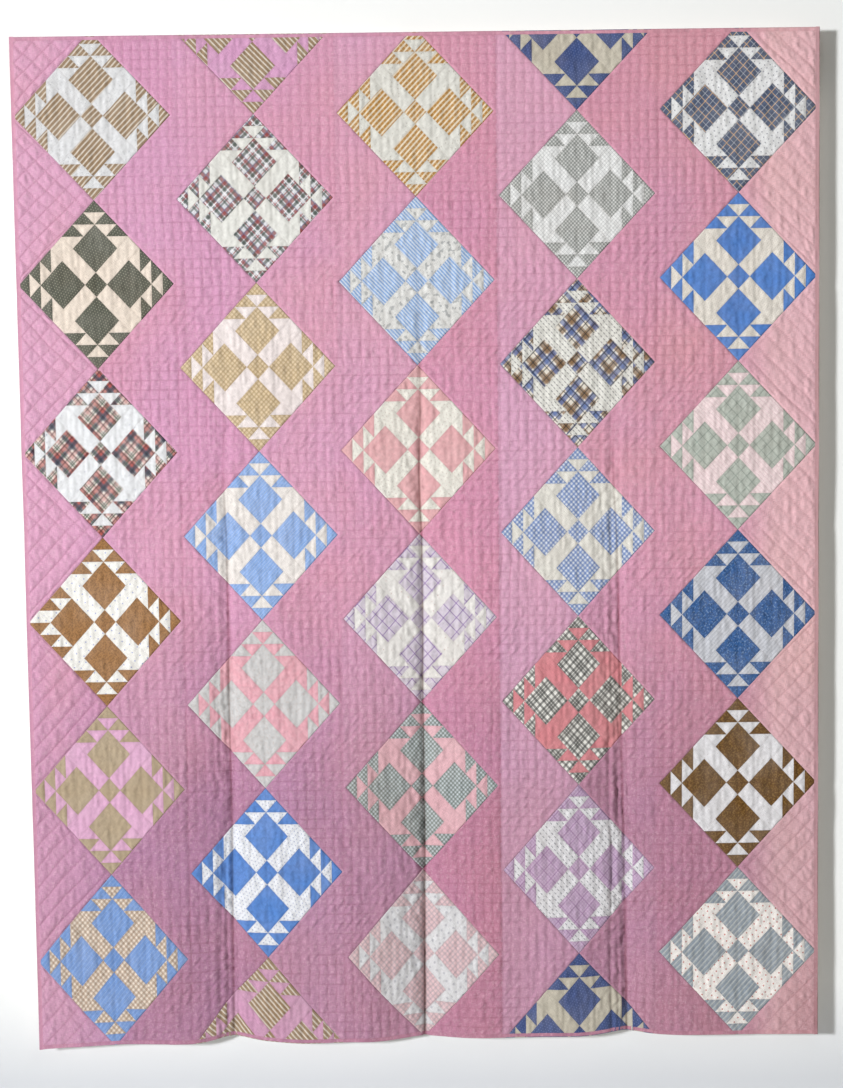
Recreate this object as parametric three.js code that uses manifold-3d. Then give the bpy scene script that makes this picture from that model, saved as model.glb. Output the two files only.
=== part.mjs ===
// A pieced quilt hung flat on a round pole, which rests in three notched wall brackets.
// Millimetres, +Z up, +X to the right seen from the front, -Y to the front.
// The wall is the plane y = 0. The origin is on it, behind the pole's axis and in the middle of the pole.
import * as THREE from "three";
import Module from "manifold-3d";

const wasm = await Module();
wasm.setup();

// ---- the patchwork ----
const STRIPS = 5; // strips of blocks, side by side
const ROWS = 6; // block heights in a strip
const STRIP_PITCH = 363;
const BLOCK_W = 352; // across a block that stands on its corner
const BLOCK_H = 377.2; // up a block that stands on its corner
const HEAD_TRIM = 9; // cut off the blocks' upper tips by the quilt's head
const FOOT_TRIM = 2; // cut off their lower tips by its foot
const QUILT_W = STRIPS * STRIP_PITCH;
const QUILT_H = ROWS * BLOCK_H - HEAD_TRIM - FOOT_TRIM;

// ---- the cloth ----
const PLY_GAP = 0.3; // between cloth pieces that touch
const TOP_PLY = 0.8;
const BATTING_PLY = 3;
const BACKING_PLY = 0.8;
const BINDING_PLY = 0.4;
const BINDING_W = 9.5; // seen on the front, and on the back
const SLEEVE_PLY = 1;

// ---- how the old cloth hangs ----
const FOOT_SHIFTS = [57, 37, 20, 4, -13, -16]; // how far each strip seam's foot stands to the right of its head
const RISE_ACROSS = 14; // how much higher the right edge hangs than the left

// ---- pole ----
const POLE_R = 14;
const POLE_INSET = 12.5; // from each side of the quilt to the pole's end
const POLE_CHAMFER = 2;
const POLE_STANDOFF = 30; // the wall to the pole's axis
const HEAD_ABOVE_AXIS = 36; // the pole's axis to the quilt's head
const POLE_HALF = QUILT_W / 2 - POLE_INSET;

// ---- brackets ----
const BRACKET_W = 24;
const BRACKET_FROM_END = 20; // the pole's end to the middle of the outer bracket
const CRADLE_CLEARANCE = 0.5;
const CRADLE_R = POLE_R + CRADLE_CLEARANCE;
const LIP_HEIGHT = 3; // the cradle's sides above the pole's axis
const NOSE_WALL = 4.1; // in front of the cradle
const NOSE_DROP = 50; // the pole's axis to the foot of the flat nose
const PLATE_T = 8;
const PLATE_UP = 24; // the pole's axis to the plate's upper end
const PLATE_DOWN = 88; // and to its lower end
const THROAT_DROP = 64; // where the bracket's underside meets the plate
const THROAT_REACH = 6; // how far out the underside's hollow starts
const EASED_EDGE = 0.8;
const QUILT_TO_NOSE = 0.4; // the quilt's back rests on the noses, or nearly
const BRACKET_X = POLE_HALF - BRACKET_FROM_END;

// ---- screws ----
const SCREW_R = 2.1;
const SCREW_HEAD_R = 4;
const SCREW_CONE = 2.6; // depth of the countersunk head
const SCREW_RIM = 0.3; // the straight edge of the head
const SCREW_L = 40;
const SCREW_TIP = 6;
const SCREW_SUNK = 0.2; // below the plate's face
const SCREW_FIT = 0.3;
const SCREW_UP = 14; // the pole's axis to the upper screw
const SCREW_DOWN = 76; // and to the lower one
const DRIVE_SLOT = [0.9, 1.3, 5.6]; // width, depth and length

// ---- hanging sleeve ----
const SLEEVE_TO_BRACKET = 8;
const SLEEVE_FIT = 0.3; // around the pole
const SLEEVE_DROP = 78; // the pole's axis to the sleeve's lower seam
const SLEEVE_BEND = 23; // height of the bend at the foot of the loop
const SLEEVE_LEAVES = 110; // degrees round the pole, from the wall over the top, to where the cloth leaves it for its upper seam
const SLEEVE_X0 = BRACKET_W / 2 + SLEEVE_TO_BRACKET;
const SLEEVE_X1 = BRACKET_X - BRACKET_W / 2 - SLEEVE_TO_BRACKET;

// ---- layers, from the wall forwards, as distances from the wall ----
const NOSE_Y = POLE_STANDOFF + CRADLE_R + NOSE_WALL;
const BACKING_Y = NOSE_Y + QUILT_TO_NOSE;
const BATTING_Y = BACKING_Y + BACKING_PLY + PLY_GAP;
const TOP_Y = BATTING_Y + BATTING_PLY + PLY_GAP;
const BINDING_Y0 = BACKING_Y - PLY_GAP - BINDING_PLY;
const BINDING_Y1 = TOP_Y + TOP_PLY + PLY_GAP + BINDING_PLY;
const HEAD_Z = HEAD_ABOVE_AXIS;
const FOOT_Z = HEAD_Z - QUILT_H;
const FIELD_Z = HEAD_Z + HEAD_TRIM - (ROWS * BLOCK_H) / 2; // the middle of the patchwork
const EDGE_INSET = BINDING_PLY + PLY_GAP; // the binding's outside to the layers' edge

const FIRST_SEAM = -QUILT_W / 2;
const stripX = (s) => FIRST_SEAM + (s + 0.5) * STRIP_PITCH;

// ---------------------------------------------------------------- helpers

// Where a point of the flat quilt is once it hangs.
function hung(x, z) {
  const at = THREE.MathUtils.clamp((x - FIRST_SEAM) / STRIP_PITCH, 0, STRIPS);
  const s = Math.min(Math.floor(at), STRIPS - 1);
  const shift = THREE.MathUtils.lerp(FOOT_SHIFTS[s], FOOT_SHIFTS[s + 1], at - s);
  return [
    x + (shift * (HEAD_Z - z)) / QUILT_H,
    z + (RISE_ACROSS * x) / QUILT_W,
  ];
}

function hang(geometry) {
  const p = geometry.getAttribute("position");
  for (let i = 0; i < p.count; i++) {
    const [x, z] = hung(p.getX(i), p.getZ(i));
    p.setX(i, x);
    p.setZ(i, z);
  }
  geometry.computeVertexNormals();
  return geometry;
}

// A flat piece with the outline given as [x, z] points, from y = -near forwards.
function slab(outline, near, thickness) {
  const shape = new THREE.Shape(outline.map(([x, z]) => new THREE.Vector2(x, z)));
  return new THREE.ExtrudeGeometry(shape, {
    depth: thickness,
    bevelEnabled: false,
  })
    .rotateX(Math.PI / 2)
    .translate(0, -near, 0);
}

// The part of an outline between two heights.
function between(outline, low, high) {
  const keep = (points, inside, cut) => {
    const kept = [];
    points.forEach((a, i) => {
      const b = points[(i + 1) % points.length];
      if (inside(a)) kept.push(a);
      if (inside(a) !== inside(b)) {
        const t = (cut - a[1]) / (b[1] - a[1]);
        kept.push([a[0] + t * (b[0] - a[0]), cut]);
      }
    });
    return kept;
  };
  const below = keep(outline, (p) => p[1] < high, high);
  return keep(below, (p) => p[1] > low, low);
}

function box(x0, x1, y0, y1, z0, z1) {
  return new THREE.BoxGeometry(x1 - x0, y1 - y0, z1 - z0).translate(
    (x0 + x1) / 2,
    (y0 + y1) / 2,
    (z0 + z1) / 2,
  );
}

function solid(geometry) {
  const g = geometry.index ? geometry.toNonIndexed() : geometry;
  const p = g.getAttribute("position");
  const seen = new Map();
  const vertices = [];
  const triangles = [];
  for (let i = 0; i < p.count; i += 3) {
    const corner = [i, i + 1, i + 2].map((k) => {
      const v = [p.getX(k), p.getY(k), p.getZ(k)];
      const key = v.map((c) => Math.round(c * 1e4)).join();
      if (!seen.has(key)) {
        seen.set(key, seen.size);
        vertices.push(...v);
      }
      return seen.get(key);
    });
    if (new Set(corner).size === 3) triangles.push(...corner);
  }
  return new wasm.Manifold(
    new wasm.Mesh({
      numProp: 3,
      vertProperties: new Float32Array(vertices),
      triVerts: new Uint32Array(triangles),
    }),
  );
}

function shape(body) {
  const m = body.getMesh();
  const geometry = new THREE.BufferGeometry();
  geometry.setAttribute("position", new THREE.BufferAttribute(m.vertProperties, 3));
  geometry.setIndex(new THREE.BufferAttribute(m.triVerts, 1));
  const flat = geometry.toNonIndexed();
  flat.computeVertexNormals();
  return flat;
}

const cut = (body, ...tools) =>
  shape(tools.reduce((left, tool) => left.subtract(solid(tool)), solid(body)));

// A turned piece on the Y axis: profile points are [radius, y].
const turned = (profile, sides) =>
  new THREE.LatheGeometry(
    profile.map(([r, y]) => new THREE.Vector2(r, y)),
    sides,
  );

const root = new THREE.Group();
function add(name, geometry, colour, roughness = 0.95, metalness = 0) {
  const mesh = new THREE.Mesh(
    geometry,
    new THREE.MeshStandardMaterial({ color: colour, roughness, metalness }),
  );
  mesh.name = name;
  root.add(mesh);
}

// ---------------------------------------------------------------- patchwork

// The main print of each block, from the head down. Strips 2 and 4 start and end with half a block.
const PRINTS = [
  ["#a8978a", "#6f7068", "#b7a3a4", "#a07c55", "#ab9885", "#7090c4"],
  ["#d8c8b4", "#877570", "#c3ae94", "#94add6", "#c8c5c6", "#5d86c8", "#d8c8b4"],
  ["#c0a780", "#aebed2", "#d8a8ab", "#c4b4c8", "#8d9294", "#c4b0b4"],
  ["#46598c", "#9ba19e", "#8c8a86", "#8ca0c0", "#868b89", "#a48ca0", "#46598c"],
  ["#737888", "#5a7db8", "#a2a8a0", "#3d6292", "#684c33", "#9196a0"],
];
const PINK = "#d29ab4";

// How far a gap of `ply` across a block's side reaches sideways and upwards.
const BLOCK_SIDE = Math.hypot(BLOCK_W, BLOCK_H);
const sideways = (ply) => (ply * BLOCK_SIDE) / BLOCK_H;
const upwards = (ply) => (ply * BLOCK_SIDE) / BLOCK_W;

function blockOutline(x, z) {
  const w = BLOCK_W / 2 - sideways(PLY_GAP / 2);
  const h = BLOCK_H / 2 - upwards(PLY_GAP / 2);
  return [[x - w, z], [x, z - h], [x + w, z], [x, z + h]];
}

// The middles of a strip's blocks, from the head down.
function blockHeights(s) {
  const half = s % 2;
  return Array.from(
    { length: ROWS + half },
    (_, r) => FIELD_Z + ((ROWS - 1 + half) / 2 - r) * BLOCK_H,
  );
}

const layerLow = FOOT_Z + EDGE_INSET;
const layerHigh = HEAD_Z - EDGE_INSET;
const layerLeft = -QUILT_W / 2 + EDGE_INSET;
const layerRight = -layerLeft;

for (let s = 0; s < STRIPS; s++) {
  const heights = blockHeights(s);
  heights.forEach((z, r) => {
    const half = s % 2 && (r === 0 || r === heights.length - 1);
    const name = half
      ? `half_block_s${s + 1}_${r ? "foot" : "head"}`
      : `block_s${s + 1}_r${r + (s % 2 ? 0 : 1)}`;
    const outline = blockOutline(stripX(s), z);
    add(name, hang(slab(between(outline, layerLow, layerHigh), TOP_Y, TOP_PLY)), PRINTS[s][r]);
  });
}

// One side of a strip of blocks as a zigzag from the head down. side is -1 for the left and 1 for the right.
function zigzag(s, side) {
  const points = [];
  const off = sideways(PLY_GAP / 2);
  for (const z of blockHeights(s)) {
    points.push([stripX(s) + side * off, z + BLOCK_H / 2]);
    points.push([stripX(s) + side * (BLOCK_W / 2 + off), z]);
  }
  const last = blockHeights(s).at(-1) - BLOCK_H / 2;
  points.push([stripX(s) + side * off, last]);
  return points;
}

for (let b = 0; b <= STRIPS; b++) {
  const left = b ? zigzag(b - 1, 1) : [[layerLeft, HEAD_Z], [layerLeft, FOOT_Z]];
  const right = b < STRIPS ? zigzag(b, -1) : [[layerRight, HEAD_Z], [layerRight, FOOT_Z]];
  const outline = between([...left, ...right.reverse()], layerLow, layerHigh);
  const name =
    b === 0 ? "zigzag_left_edge" : b === STRIPS ? "zigzag_right_edge" : `zigzag_${b}_${b + 1}`;
  add(name, hang(slab(outline, TOP_Y, TOP_PLY)), PINK);
}

// ---------------------------------------------------------------- batting, backing and binding

const sheet = [
  [layerLeft, layerLow],
  [layerRight, layerLow],
  [layerRight, layerHigh],
  [layerLeft, layerHigh],
];
add("batting", hang(slab(sheet, BATTING_Y, BATTING_PLY)), "#f0ece2");
add("backing", hang(slab(sheet, BACKING_Y, BACKING_PLY)), "#e9e4d8");

// A strip folded over the edge: the box around it less the layers' room.
function binding(x0, x1, z0, z1) {
  const room = box(
    layerLeft - PLY_GAP,
    layerRight + PLY_GAP,
    -(BINDING_Y1 - BINDING_PLY),
    -(BINDING_Y0 + BINDING_PLY),
    layerLow - PLY_GAP,
    layerHigh + PLY_GAP,
  );
  return hang(cut(box(x0, x1, -BINDING_Y1, -BINDING_Y0, z0, z1), room));
}
const HALF_W = QUILT_W / 2;
const BINDING_PINK = "#c98a9b";
add("binding_left", binding(-HALF_W, -HALF_W + BINDING_W, FOOT_Z, HEAD_Z), BINDING_PINK);
add("binding_right", binding(HALF_W - BINDING_W, HALF_W, FOOT_Z, HEAD_Z), BINDING_PINK);
const across = HALF_W - BINDING_W - PLY_GAP;
add("binding_head", binding(-across, across, HEAD_Z - BINDING_W, HEAD_Z), BINDING_PINK);
add("binding_foot", binding(-across, across, FOOT_Z, FOOT_Z + BINDING_W), BINDING_PINK);

// ---------------------------------------------------------------- hanging sleeve

const WRAP_STEPS = 14; // facets of the loop over the pole
const BEND_STEPS = 6; // and at its foot

// The loop as [y, z] points, `out` mm outside the middle of its cloth: over the pole, down behind it and back to the quilt.
function sleeveLoop(out) {
  const r = POLE_R + SLEEVE_FIT + SLEEVE_PLY / 2 + out;
  const front = BACKING_Y - PLY_GAP - SLEEVE_PLY / 2 + out;
  const lean = THREE.MathUtils.degToRad(SLEEVE_LEAVES);
  const top = [POLE_STANDOFF - r * Math.cos(lean), r * Math.sin(lean)];
  const reach = front - top[0];
  const points = [[front, top[1] + reach / Math.tan(lean)]];
  for (let i = 0; i <= WRAP_STEPS; i++) {
    const a = lean * (1 - i / WRAP_STEPS);
    points.push([POLE_STANDOFF - r * Math.cos(a), r * Math.sin(a)]);
  }
  const low = -SLEEVE_DROP - out;
  const back = POLE_STANDOFF - r;
  for (let i = 0; i <= BEND_STEPS; i++) {
    const a = ((i / BEND_STEPS) * Math.PI) / 2;
    points.push([
      back + (front - PLY_GAP - back) * (1 - Math.cos(a)),
      low + SLEEVE_BEND * (1 - Math.sin(a)),
    ]);
  }
  points.push([front, low]);
  return points;
}

function sleeve(x0, x1) {
  const loop = (out) =>
    sleeveLoop(out).reverse().map(([y, z]) => new THREE.Vector2(-y, z));
  const outer = new THREE.Shape(loop(SLEEVE_PLY / 2));
  outer.holes.push(new THREE.Path(loop(-SLEEVE_PLY / 2)));
  return alongX(
    new THREE.ExtrudeGeometry(outer, { depth: x1 - x0, bevelEnabled: false }),
    x0,
  );
}

// Lays a profile drawn as (y, z) and extruded along Z so that it runs along X from x0.
function alongX(geometry, x0) {
  return geometry
    .applyMatrix4(
      new THREE.Matrix4().set(0, 0, 1, 0, 1, 0, 0, 0, 0, 1, 0, 0, 0, 0, 0, 1),
    )
    .translate(x0, 0, 0);
}

add("sleeve_left", sleeve(-SLEEVE_X1, -SLEEVE_X0), "#e6e0d2");
add("sleeve_right", sleeve(SLEEVE_X0, SLEEVE_X1), "#e6e0d2");

// ---------------------------------------------------------------- pole, brackets and screws

const pole = turned(
  [
    [0, -POLE_HALF],
    [POLE_R - POLE_CHAMFER, -POLE_HALF],
    [POLE_R, -POLE_HALF + POLE_CHAMFER],
    [POLE_R, POLE_HALF - POLE_CHAMFER],
    [POLE_R - POLE_CHAMFER, POLE_HALF],
    [0, POLE_HALF],
  ],
  64,
)
  .rotateZ(-Math.PI / 2)
  .translate(0, -POLE_STANDOFF, 0);
add("pole", shape(solid(pole)), "#b98d5c", 0.55);

function bracketBlank(x) {
  const p = new THREE.Shape();
  const axis = -POLE_STANDOFF;
  p.moveTo(0, PLATE_UP);
  p.lineTo(-PLATE_T, PLATE_UP);
  p.lineTo(-PLATE_T, LIP_HEIGHT);
  p.lineTo(axis + CRADLE_R, LIP_HEIGHT);
  p.lineTo(axis + CRADLE_R, 0);
  p.absarc(axis, 0, CRADLE_R, 0, Math.PI, true);
  p.lineTo(axis - CRADLE_R, LIP_HEIGHT);
  p.lineTo(-NOSE_Y, LIP_HEIGHT);
  p.lineTo(-NOSE_Y, -NOSE_DROP);
  p.quadraticCurveTo(-PLATE_T - THROAT_REACH, -NOSE_DROP, -PLATE_T, -THROAT_DROP);
  p.lineTo(-PLATE_T, -PLATE_DOWN);
  p.lineTo(0, -PLATE_DOWN);
  p.closePath();
  return alongX(
    new THREE.ExtrudeGeometry(p, {
      depth: BRACKET_W - 2 * EASED_EDGE,
      curveSegments: 24,
      bevelThickness: EASED_EDGE,
      bevelSize: EASED_EDGE,
      bevelOffset: -EASED_EDGE,
      bevelSegments: 1,
    }),
    x - BRACKET_W / 2 + EASED_EDGE,
  );
}

const HEAD_FACE = -PLATE_T + SCREW_SUNK;
const PAST = 1; // how far a cutter runs past what it cuts

function screw(x, z) {
  const end = HEAD_FACE + SCREW_L;
  const body = turned(
    [
      [0, HEAD_FACE],
      [SCREW_HEAD_R, HEAD_FACE],
      [SCREW_HEAD_R, HEAD_FACE + SCREW_RIM],
      [SCREW_R, HEAD_FACE + SCREW_CONE],
      [SCREW_R, end - SCREW_TIP],
      [0, end],
    ],
    32,
  );
  const [w, deep, long] = DRIVE_SLOT;
  const slot = box(-long / 2, long / 2, HEAD_FACE - PAST, HEAD_FACE + deep, -w / 2, w / 2);
  return cut(body, slot).translate(x, 0, z);
}

function screwHole(x, z) {
  return turned(
    [
      [0, -PLATE_T - PAST],
      [SCREW_HEAD_R + SCREW_FIT, -PLATE_T - PAST],
      [SCREW_HEAD_R + SCREW_FIT, HEAD_FACE + SCREW_RIM],
      [SCREW_R + SCREW_FIT, HEAD_FACE + SCREW_CONE],
      [SCREW_R + SCREW_FIT, PAST],
      [0, PAST],
    ],
    48,
  ).translate(x, 0, z);
}

const PLACES = { left: -BRACKET_X, centre: 0, right: BRACKET_X };
for (const [place, x] of Object.entries(PLACES)) {
  const heights = { upper: SCREW_UP, lower: -SCREW_DOWN };
  add(
    `bracket_${place}`,
    cut(bracketBlank(x), ...Object.values(heights).map((z) => screwHole(x, z))),
    "#a97c4e",
    0.6,
  );
  for (const [which, z] of Object.entries(heights))
    add(`screw_${place}_${which}`, screw(x, z), "#c9b787", 0.35, 0.9);
}

export default root;
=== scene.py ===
# %% [markdown]
# # A hanging patchwork quilt
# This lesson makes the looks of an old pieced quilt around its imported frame: 32 blocks that
# stand on their corners, pink zigzag bands between them, batting, backing, a narrow binding,
# and the sleeves, pole and wall brackets that hold it up. The frame says where things are.

# %% Load the frame
import math

import bmesh
import bpy
import numpy as np
from mathutils import Matrix, Vector


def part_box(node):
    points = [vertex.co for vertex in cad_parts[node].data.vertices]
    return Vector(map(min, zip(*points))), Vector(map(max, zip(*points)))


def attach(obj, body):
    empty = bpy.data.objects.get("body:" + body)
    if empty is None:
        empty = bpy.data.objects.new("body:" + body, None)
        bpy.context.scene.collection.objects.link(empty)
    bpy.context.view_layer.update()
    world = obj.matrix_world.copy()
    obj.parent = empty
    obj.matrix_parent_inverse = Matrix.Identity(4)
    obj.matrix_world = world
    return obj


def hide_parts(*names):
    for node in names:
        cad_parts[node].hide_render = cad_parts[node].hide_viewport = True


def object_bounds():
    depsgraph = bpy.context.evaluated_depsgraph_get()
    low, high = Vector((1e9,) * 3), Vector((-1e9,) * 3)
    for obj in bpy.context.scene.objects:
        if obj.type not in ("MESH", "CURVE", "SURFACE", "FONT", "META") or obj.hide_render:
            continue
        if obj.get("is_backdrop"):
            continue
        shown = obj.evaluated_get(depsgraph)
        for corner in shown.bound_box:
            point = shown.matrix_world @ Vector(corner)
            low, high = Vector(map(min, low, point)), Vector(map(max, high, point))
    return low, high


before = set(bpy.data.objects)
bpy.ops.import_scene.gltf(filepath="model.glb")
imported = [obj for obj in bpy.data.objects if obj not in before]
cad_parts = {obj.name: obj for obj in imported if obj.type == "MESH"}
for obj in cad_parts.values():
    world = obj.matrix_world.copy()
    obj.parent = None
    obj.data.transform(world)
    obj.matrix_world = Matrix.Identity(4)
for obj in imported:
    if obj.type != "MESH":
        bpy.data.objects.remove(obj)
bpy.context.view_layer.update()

# %% [markdown]
# ## Sizes
# A quilter works in blocks: each one is a 7 by 7 grid of units turned on its corner. The
# sizes are the frame's own, in millimetres, so every piece is drawn flat first, as it lies
# on the cutting table, and hung afterwards.

# %% The quilt's plan
MM = 0.001
STRIPS, ROWS = 5, 6
PITCH, BLOCK_W, BLOCK_H = 363.0, 352.0, 377.2
HEAD_TRIM, FOOT_TRIM = 9.0, 2.0  # cut off the outermost blocks' tips
HEAD = 36.0  # over the pole's middle, which is at nought
WIDTH = STRIPS * PITCH
HEIGHT = ROWS * BLOCK_H - HEAD_TRIM - FOOT_TRIM
FOOT = HEAD - HEIGHT
GRID = 7  # units along a block's side
HALF_GRID = GRID / 2
UNIT = math.hypot(BLOCK_W, BLOCK_H) / 2 / GRID
BINDING_W = 9.5
EDGE_INSET = 0.7  # the binding's fold to the layers' cut edge
FOOT_SHIFTS = (57, 37, 20, 4, -13, -16)  # each strip seam's foot leans this far to the right
RISE_ACROSS = 14.0  # the head's right end hangs this much higher than its left
FACE = -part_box("block_s3_r3")[0].y / MM  # the patchwork's face, before the wall
BACK = -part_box("backing")[1].y / MM  # the backing's outside
print(f"quilt {WIDTH:.0f} x {HEIGHT:.0f} mm, face {FACE:.1f} and back {BACK:.1f} mm off the wall")


def strip_x(strip):
    return (strip + 0.5) * PITCH - WIDTH / 2


def block_heights(strip):
    half = strip % 2
    top = HEAD + HEAD_TRIM - BLOCK_H / 2 + half * BLOCK_H / 2
    return [top - r * BLOCK_H for r in range(ROWS + half)]


# %% [markdown]
# ## How old cloth hangs
# A cloth simulation of a quilt this wide would take minutes and would not put the storage
# folds where this one has them. So the fall is worked out instead: soft valleys where the
# quilt was folded in quarters, which deepen towards the foot, and slow waves between them.


# %% Soft random waves
WAVE_SPAN = 64  # bumps before the waves repeat


def smooth(t, start, end):
    s = np.clip((t - start) / (end - start), 0, 1)
    return s * s * (3 - 2 * s)


def waves(x, y, seed):
    """Smooth noise from -1 to 1 with bumps one unit apart."""
    heights = np.random.RandomState(seed).uniform(-1, 1, (WAVE_SPAN, WAVE_SPAN))
    xi, yi = np.floor(x).astype(int), np.floor(y).astype(int)
    fx, fy = x - xi, y - yi
    fx, fy = fx * fx * (3 - 2 * fx), fy * fy * (3 - 2 * fy)
    x0, x1 = xi % WAVE_SPAN, (xi + 1) % WAVE_SPAN
    y0, y1 = yi % WAVE_SPAN, (yi + 1) % WAVE_SPAN
    low = heights[x0, y0] * (1 - fx) + heights[x1, y0] * fx
    high = heights[x0, y1] * (1 - fx) + heights[x1, y1] * fx
    return low * (1 - fy) + high * fy


# %% The fall of the quilt
# Each fold: where it is at the head and at the foot, how deep its valley is, where it starts,
# and where the finer wrinkles beside it run.
FOLDS = (
    (-445, -446, 23.0, 0.30, (-24, -10, 11)),
    (0, 4, 30.0, 0.20, (9,)),
    (420, 478, 22.0, 0.30, (-30, -17, -8, 12)),
)
CROSS_FOLDS = (0.256, 0.4945, 0.753)  # shares of the height
VALLEY, CREASE, WRINKLE = 70, 6, 3.2  # how far each reaches to a side, in mm
SHOULDER = 150  # from a fold to the swell beside it
# Where the hem rises at a fold, how wide the rise is and how high.
HEM_RISES = ((-446, 60, 15), (0, 70, 8), (480, 60, 7))
SAG_AT, SAG = (-907, -840, -700, -400, 0, 300), (16, 11, 5, 8, 6, 0)  # and where it sags


def from_fold(fold, u, v):
    down = (HEAD - v) / HEIGHT
    return u - fold[0] - (fold[1] - fold[0]) * down - 3 * waves(v / 160, u * 0, 11)


def drape(u, v):
    """How far the cloth stands forwards of its flat place, in mm."""
    down = (HEAD - v) / HEIGHT
    out = np.zeros_like(u)
    for fold in FOLDS:
        depth, start, wrinkles = fold[2:]
        off = from_fold(fold, u, v)
        near = np.sqrt(off**2 + 3)
        sharp = 1.2 + depth * 0.3 * smooth(down, start, 0.6)
        out -= depth * smooth(down, start, 0.95) * np.exp(-near / VALLEY)
        out -= sharp * smooth(down, 0.04, 0.3) * np.exp(-near / CREASE)
        out += 3.0 * smooth(down, start, 0.9) * np.exp(-(((np.abs(off) - SHOULDER) / 60) ** 2))
        crumpled = smooth(down, start - 0.1, start + 0.3) * np.exp(-((off / 50) ** 2))
        rumples = 2.4 * waves((u + v) / 14, (u - v) / 19, 61) + 1.3 * waves(u / 8, v / 13, 62)
        out += crumpled * rumples
        for k, aside in enumerate(wrinkles):
            wander = off - aside - 5 * waves(v / 140, u * 0, 40 + k)
            strong = 4.6 + 2.4 * waves(v / 120, u * 0, 50 + k)
            narrow = np.exp(-np.sqrt(wander**2 + 1.5) / WRINKLE)
            out -= strong * smooth(down, start - 0.1, start + 0.3) * narrow
    for share in CROSS_FOLDS:
        near = np.sqrt(((down - share) * HEIGHT + 2 * waves(u / 120, v * 0, 12)) ** 2 + 9)
        out -= 2.2 * np.exp(-near / 7) + 1.6 * np.exp(-near / 45)
    loose = smooth(down, 0.08, 0.9)
    out += 5.0 * loose * waves(u / 260, v / 700, 13)
    out += (0.7 + 1.6 * loose) * waves(u / 70, v / 150, 14) * smooth(down, 0.0, 0.05)
    out += (0.35 + 0.5 * loose) * waves(u / 21, v / 55, 15) * smooth(down, 0.0, 0.05)
    return out


def fold_shade(u, v):
    """Painted shade along the bottoms of the sharp folds."""
    down = (HEAD - v) / HEIGHT
    lines = [fold[2] / 30 * smooth(down, fold[3] - 0.05, fold[3] + 0.3)
             * np.exp(-((from_fold(fold, u, v) / 2.6) ** 2)) for fold in FOLDS]
    return np.maximum.reduce(lines)


def hem_lift(u, v):
    """The foot rises where the folds take cloth up, and hangs down between them."""
    down = (HEAD - v) / HEIGHT
    lift = 2.0 * waves(u / 90, u * 0, 16) - np.interp(u, SAG_AT, SAG)
    for at, wide, high in HEM_RISES:
        lift += high * np.exp(-(((u - at) / wide) ** 2))
    return lift * smooth(down, 0.86, 1.0)


# %% [markdown]
# ## Quilting
# Running stitches hold the three layers together and the batting puffs up between them. The
# bands have small squares, the side triangles slanting lines, and the blocks lines through
# their middles. Each is a height over the flat cloth, from the distance to the nearest line.

# %% Stitch lines and puffs
SQUARE = 21.0  # the small squares of the bands
SLANT = 31.0  # between the slanting lines
BLOCK_LINES = 37.7  # between the lines through a block
DIAGONAL = 0.707  # from a run along the cloth to one across a slanting line


def to_line(at, pitch):
    return np.abs((at / pitch + 0.5) % 1 - 0.5) * pitch


def puff(distance, soft=3.0):
    return 1 - np.exp(-((distance / soft) ** 1.4))


def thread(distance):
    return np.exp(-((distance / 1.5) ** 2))


def band_puff(u, v):
    """Height of the puffs and closeness to the stitching, here and in the next two."""
    x = u + 9 * waves(u / 260, v / 900, 20) + 1.8 * waves(u / 80, v / 60, 21)
    y = v + 9 * waves(u / 900, v / 260, 19) + 2.0 * waves(u / 55, v / 70, 22)
    x, y = to_line(x, SQUARE), to_line(y, SQUARE)
    slack = 0.5 + 0.5 * waves(u / 90, v / 90, 18)  # where the batting has thinned
    full = 1 + 0.35 * waves(u / SQUARE, v / SQUARE, 23)
    puckers = (1.9 + 0.9 * slack) * waves((u - v) / 9, (u + v) / 24, 28)
    puckers += 1.3 * waves(u / 7, v / 30, 30)
    height = 1.9 * full + puckers * smooth(HEAD - v, -200, 700)
    height = height * puff(x) * (0.55 + 0.45 * puff(y))
    return height, np.maximum(thread(x), 0.8 * thread(y)) * (0.35 + 0.65 * slack)


def side_puff(u, v):
    """On the left the lines cross above and only rise below. On the right they cross all the
    way down, with the rising ones fainter above."""
    wobble = 3 * waves(u / 60, v / 60, 24)
    rising, falling = (
        to_line((v - side * u) * DIAGONAL + wobble, SLANT) for side in (1, -1))
    low = smooth((HEAD - v) / HEIGHT, 0.45, 0.6)
    left = np.where(u < 0, 1, 0)
    right = 1 - left
    strong = left + right * (0.35 + 0.5 * low), left * (1 - low) + 0.85 * right
    puckers = 1.9 * waves(u / 9, v / 28, 25) + 1.1 * waves((u + v) / 8, (u - v) / 24, 17)
    sunk = 1 - strong[0] * (1 - puff(rising, 4.0)), 1 - strong[1] * (1 - puff(falling, 4.0))
    groove = np.maximum(strong[0] * thread(rising), strong[1] * thread(falling))
    return (1.6 + 0.6 * left + puckers) * sunk[0] * sunk[1], 0.9 * groove


def block_puff(du, dv):
    x = to_line(du + 1.2 * waves(dv / 40, du / 90, 16), BLOCK_LINES)
    y = to_line(dv, BLOCK_LINES)
    puckers = 1.7 * waves(du / 8, dv / 24, 29) + 1.3 * waves((du - dv) / 8, (du + dv) / 22, 10)
    height = (1.5 + puckers) * puff(x, 3.4) * (0.7 + 0.3 * puff(y))
    return height, 0.35 * np.maximum(thread(x), 0.6 * thread(y))


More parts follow.
